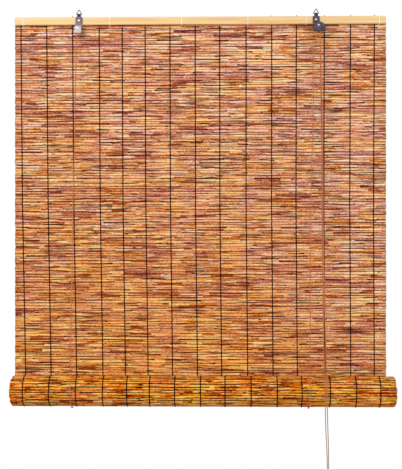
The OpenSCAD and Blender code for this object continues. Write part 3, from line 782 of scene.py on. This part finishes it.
def mat_space(x, u, d):
    return np.stack([x, mat_mid - d, mat_top - u], -1)


mat_dashes = 9.6   # a metre
mat_edges = [Edge(k * pitch, mat_left, mat_right, 0 if k in (0, rows) else mat_dashes,
                  fixed=k in (0, eye_row, tie_row, rows)) for k in range(rows + 1)]
mat_holes = {}


def open_row(k, start, end, heavy, wide):
    mat_edges[k].dashes.append((start, end, heavy, heavy, wide))
    mat_holes.setdefault(k, []).append((start, end))


# The source's slots between rows, and its holes for the ties and the screw eyes
for i in range(gap_count):
    x = mat_left + 20 + (mat_w - 100) * (i * 0.618 % 1)
    open_row(tie_row + 3 + (i * 37) % (rows - tie_row - 6), x, x + 16 + 36 * (i * 0.37 % 1), 0.4, 0.2)
for x in [mat_left + at * mat_w for at in tie_at]:
    open_row(tie_row, x - 2.5, x + 2.5, 0.7, 0.75)
for x in (left_sling_x, right_sling_x):
    open_row(eye_row, x - 2.5, x + 2.5, 0.7, 0.95)

rods = Rods()
for k in range(rows):
    # seam: the painted shade between the mat's rows
    reeds_of_row(rods, mat_edges[k], mat_edges[k + 1], mat_left + between(0, 1.6),
                 mat_right - between(0, 1.6), mat_space, level=0.65, spread=0.15, seam=0.75)
    if k:
        strip_behind(rods, mat_edges[k], mat_left, mat_right, mat_space, mat_holes.get(k, ()))
mat = rods.build("woven_reeds", reed)
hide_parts("reed_mat")
hang(mat)


# The roll. Depths count outwards, and heights are lengths of arc along its spiral

def outer_r(a):
    return roll_r - turn_pitch * a / 360.0


def on_spiral(x, a, depth_r):
    """Points at angles of the spiral, in degrees, and at radii."""
    return np.stack([x, roll_y + depth_r * np.cos(np.radians(a)),
                     roll_z - depth_r * np.sin(np.radians(a))], -1)


class ArcEdge:
    """An edge of the roll's spiral, as lengths of arc at one row's radius."""

    def __init__(self, angle, edge, radius):
        self.start = math.radians(angle) * radius
        self.edge, self.dashes = edge, edge.dashes
        self.seam, self.dark_and_gap = edge.seam, edge.dark_and_gap

    def place(self, x):
        return self.start + self.edge.place(x)


def roll_tucks(j, middle):
    """How far a row's left and right ends are short of the roll's, which rounds its ends."""
    if j >= outer_rows:
        return (1.5 + 2.2 * (middle / 360 - 1),) * 2
    level = 1 - abs(math.cos(math.radians(middle)))
    return (5.0 if 180 < middle < 360 else 2.5) * level, 4.0 * level


inner_row_h = 7.3
roll_dashes = 13.0   # a metre
outer_rows = rows_a_turn + 2   # the outermost turn, and two rows that it covers
angles = [j * row_angle for j in range(outer_rows + 1)]
while angles[-1] < roll_turns * 360 - 14:
    angles.append(angles[-1] + math.degrees(inner_row_h / (outer_r(angles[-1]) - mat_t / 2)))
angles[-1] = roll_turns * 360
roll_edges = [Edge(0.0, roll_left, roll_right, roll_dashes if 0 < j < outer_rows else 0,
                   fixed=j in (0, len(angles) - 1)) for j in range(len(angles))]
rods = Rods()
for j in range(len(angles) - 1):
    middle = (angles[j] + angles[j + 1]) / 2
    radius = outer_r(middle) - mat_t / 2
    left_tuck, right_tuck = roll_tucks(j, middle)

    def arc_space(x, u, d, radius=radius):
        a = np.degrees(u / radius)
        return on_spiral(x, a, outer_r(a) - mat_t / 2 + d)

    top, bottom = [ArcEdge(angles[k], roll_edges[k], radius) for k in (j, j + 1)]
    # seam: the painted shade between the roll's rows, darker than on the mat
    reeds_of_row(rods, top, bottom, roll_left + between(0, 2.4) + left_tuck,
                 roll_right - between(0, 2.4) - right_tuck, arc_space,
                 level=0.7, spread=0.19, seam=1.1)
    if 0 < j < outer_rows:
        strip_behind(rods, top, roll_left, roll_right, arc_space)
roll = rods.build("rolled_reeds", rolled)
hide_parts("reed_roll")
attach(roll, "roll")


# Warp threads: each goes down in front of the reeds and behind them, and over the top

thread_halves = (1.4, 0.5)
thread_swing = 0.22
tip_half, fray_half = 1.3, 0.42


def thread_x(i, z):
    lean = thread_lean * (1 - i / (threads - 1))
    top_x = mat_left + thread_left + i * thread_step + thread_stray[i]
    top_z, end_z = mat_top + run_gap, roll_z + thread_t
    middle_z = (mat_top + run_gap + roll_z) / 2
    return np.interp(-z, [-top_z, -middle_z, -end_z],
                     [top_x, top_x + lean / 2 - 2.5, top_x + lean])


def wave(v):
    return (1 - np.cos(2 * math.pi * v)) / 2


def side_to_side(n):
    return thread_swing * np.where(np.arange(n) % 4 < 2, 1, -1)


for i in range(threads):
    steps = np.arange(0.25, rows, 0.5)
    z = mat_top - steps * pitch
    z[-1] = roll_z + thread_t
    swing = side_to_side(len(z))
    hug = 0.62 * (1 - wave(steps))
    front = np.stack([thread_x(i, z) + swing, mat_y - 0.1 + hug, z], -1)
    back = np.stack([thread_x(i, z) - swing, mat_back + 0.1 - hug, z], -1)
    x = thread_x(i, mat_top)
    over = [(x + 0.2, y, mat_top + h) for y, h in (
        (mat_back - 0.1, 0.1), (mat_back - 1.4, 0.75), (mat_mid + 0.6, 0.95), (mat_mid - 0.6, 0.95),
        (mat_y + 1.4, 0.75), (mat_y + 0.1, 0.1))]
    rods = Rods()
    rods.add(sweep(np.concatenate([back[::-1], over, front]), 6, *thread_halves), plain)
    if i in tip_threads:
        tip = [(x, mat_mid, mat_top + 0.7), (x, mat_mid - 0.3, mat_top + 2.2),
               (x + 0.3, mat_mid, mat_top + 3.6)]
        rods.add(sweep(tip, 8, tip_half), plain)
        for strand in (-0.5, 0.6):
            frayed = [(x + 0.3 + strand * 0.5, mat_mid, mat_top + 3.4),
                      (x + 0.3 + strand, mat_mid, mat_top + 5.7)]
            rods.add(sweep(frayed, 5, fray_half), plain)
    piece = rods.build(f"warp_{i + 1:02d}", warp)
    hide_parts(f"warp_thread_{i + 1:02d}")
    hang(piece)

rods = Rods()
for i in range(threads):
    x = thread_x(i, roll_z) + roll_stray[i]
    steps = np.arange(0.5, rows_a_turn - 1.2, 0.5)
    a = steps * row_angle
    path = on_spiral(x + side_to_side(len(a)), a, outer_r(a) + 0.12 - 0.6 * (1 - wave(steps)))
    rods.add(sweep(path, 6, *thread_halves), plain)
piece = rods.build("warp_round_roll", warp)
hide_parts("roll_threads")
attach(piece, "roll")


# Finishes of the pieces whose own shape is right

looks = {
    "head_batten": pale_wood, "bottom_batten": pale_wood, "cord_knob": knob_wood,
    "hanging_ring_left": dark_steel, "hanging_ring_right": dark_steel,
    "hanger_strap_left": tape, "hanger_strap_right": tape,
    "hanger_plate_left": steel, "hanger_plate_right": dark_steel,
    "plate_screw_left": nickel, "plate_screw_right": nickel,
    "pulley_housing_left": zinc, "pulley_wheel_left": nickel, "pulley_axle_left": nickel,
    "lock_housing": dark_steel, "lock_sheave": nickel, "sheave_axle": nickel,
    "lock_cam": nickel, "cam_pin": dark_steel, "screw_eye_left": nickel, "screw_eye_right": nickel,
    "eye_knot_left": warp, "eye_knot_right": warp, "knob_knot": warp,
}
for n in range(1, len(tie_at) + 1):
    looks[f"batten_tie_{n}"] = milky
for name, look in looks.items():
    mesh = nodes[name].data
    mesh.materials.clear()
    mesh.materials.append(look)


# Light, floor and surroundings, in metres

def lamp(name, place, aim, size, power):
    data = bpy.data.lights.new(name, "AREA")
    data.shape = "SQUARE"
    data.size = size
    data.energy = power
    made = bpy.data.objects.new(name, data)
    bpy.context.scene.collection.objects.link(made)
    made.location = place
    made.rotation_euler = (Vector(aim) - Vector(place)).to_track_quat("-Z", "Y").to_euler()


lamp("key", (-1.7, -2.7, 1.1), (0.0, 0.0, -0.55), 1.3, 67.0)
lamp("fill", (2.2, -2.6, -0.3), (0.0, 0.0, -0.6), 1.8, 37.0)

# White to the camera and in reflections, and dimmer as light
world_light, world_seen = 0.45, 1.0
world = bpy.data.worlds.new("world")
bpy.context.scene.world = world
world.use_nodes = True
tree = world.node_tree
background = tree.nodes["Background"]
background.inputs["Color"].default_value = (1.0, 1.0, 1.0, 1.0)
rays = node(tree, "ShaderNodeLightPath").outputs
seen = maths(tree, "MAXIMUM", rays["Is Camera Ray"],
             maths(tree, "MAXIMUM", rays["Is Glossy Ray"], rays["Is Transmission Ray"]))
feed(tree, background.inputs["Strength"],
     plus(tree, times(tree, seen, world_seen - world_light), world_light))

floor_half, floor_z = 4, -3.1
corners = [(sx * floor_half, sy * floor_half, floor_z)
           for sx, sy in ((-1, -1), (1, -1), (1, 1), (-1, 1))]
floor_mesh = bpy.data.meshes.new("floor")
floor_mesh.from_pydata(corners, [], [(0, 1, 2, 3)])
floor = bpy.data.objects.new("floor", floor_mesh)
bpy.context.scene.collection.objects.link(floor)
floor_look, _, floor_shader = material("floor")
floor_shader.inputs["Base Color"].default_value = (0.8, 0.8, 0.79, 1.0)
floor_shader.inputs["Roughness"].default_value = 0.9
floor_mesh.materials.append(floor_look)

bpy.context.scene.view_settings.view_transform = "Standard"
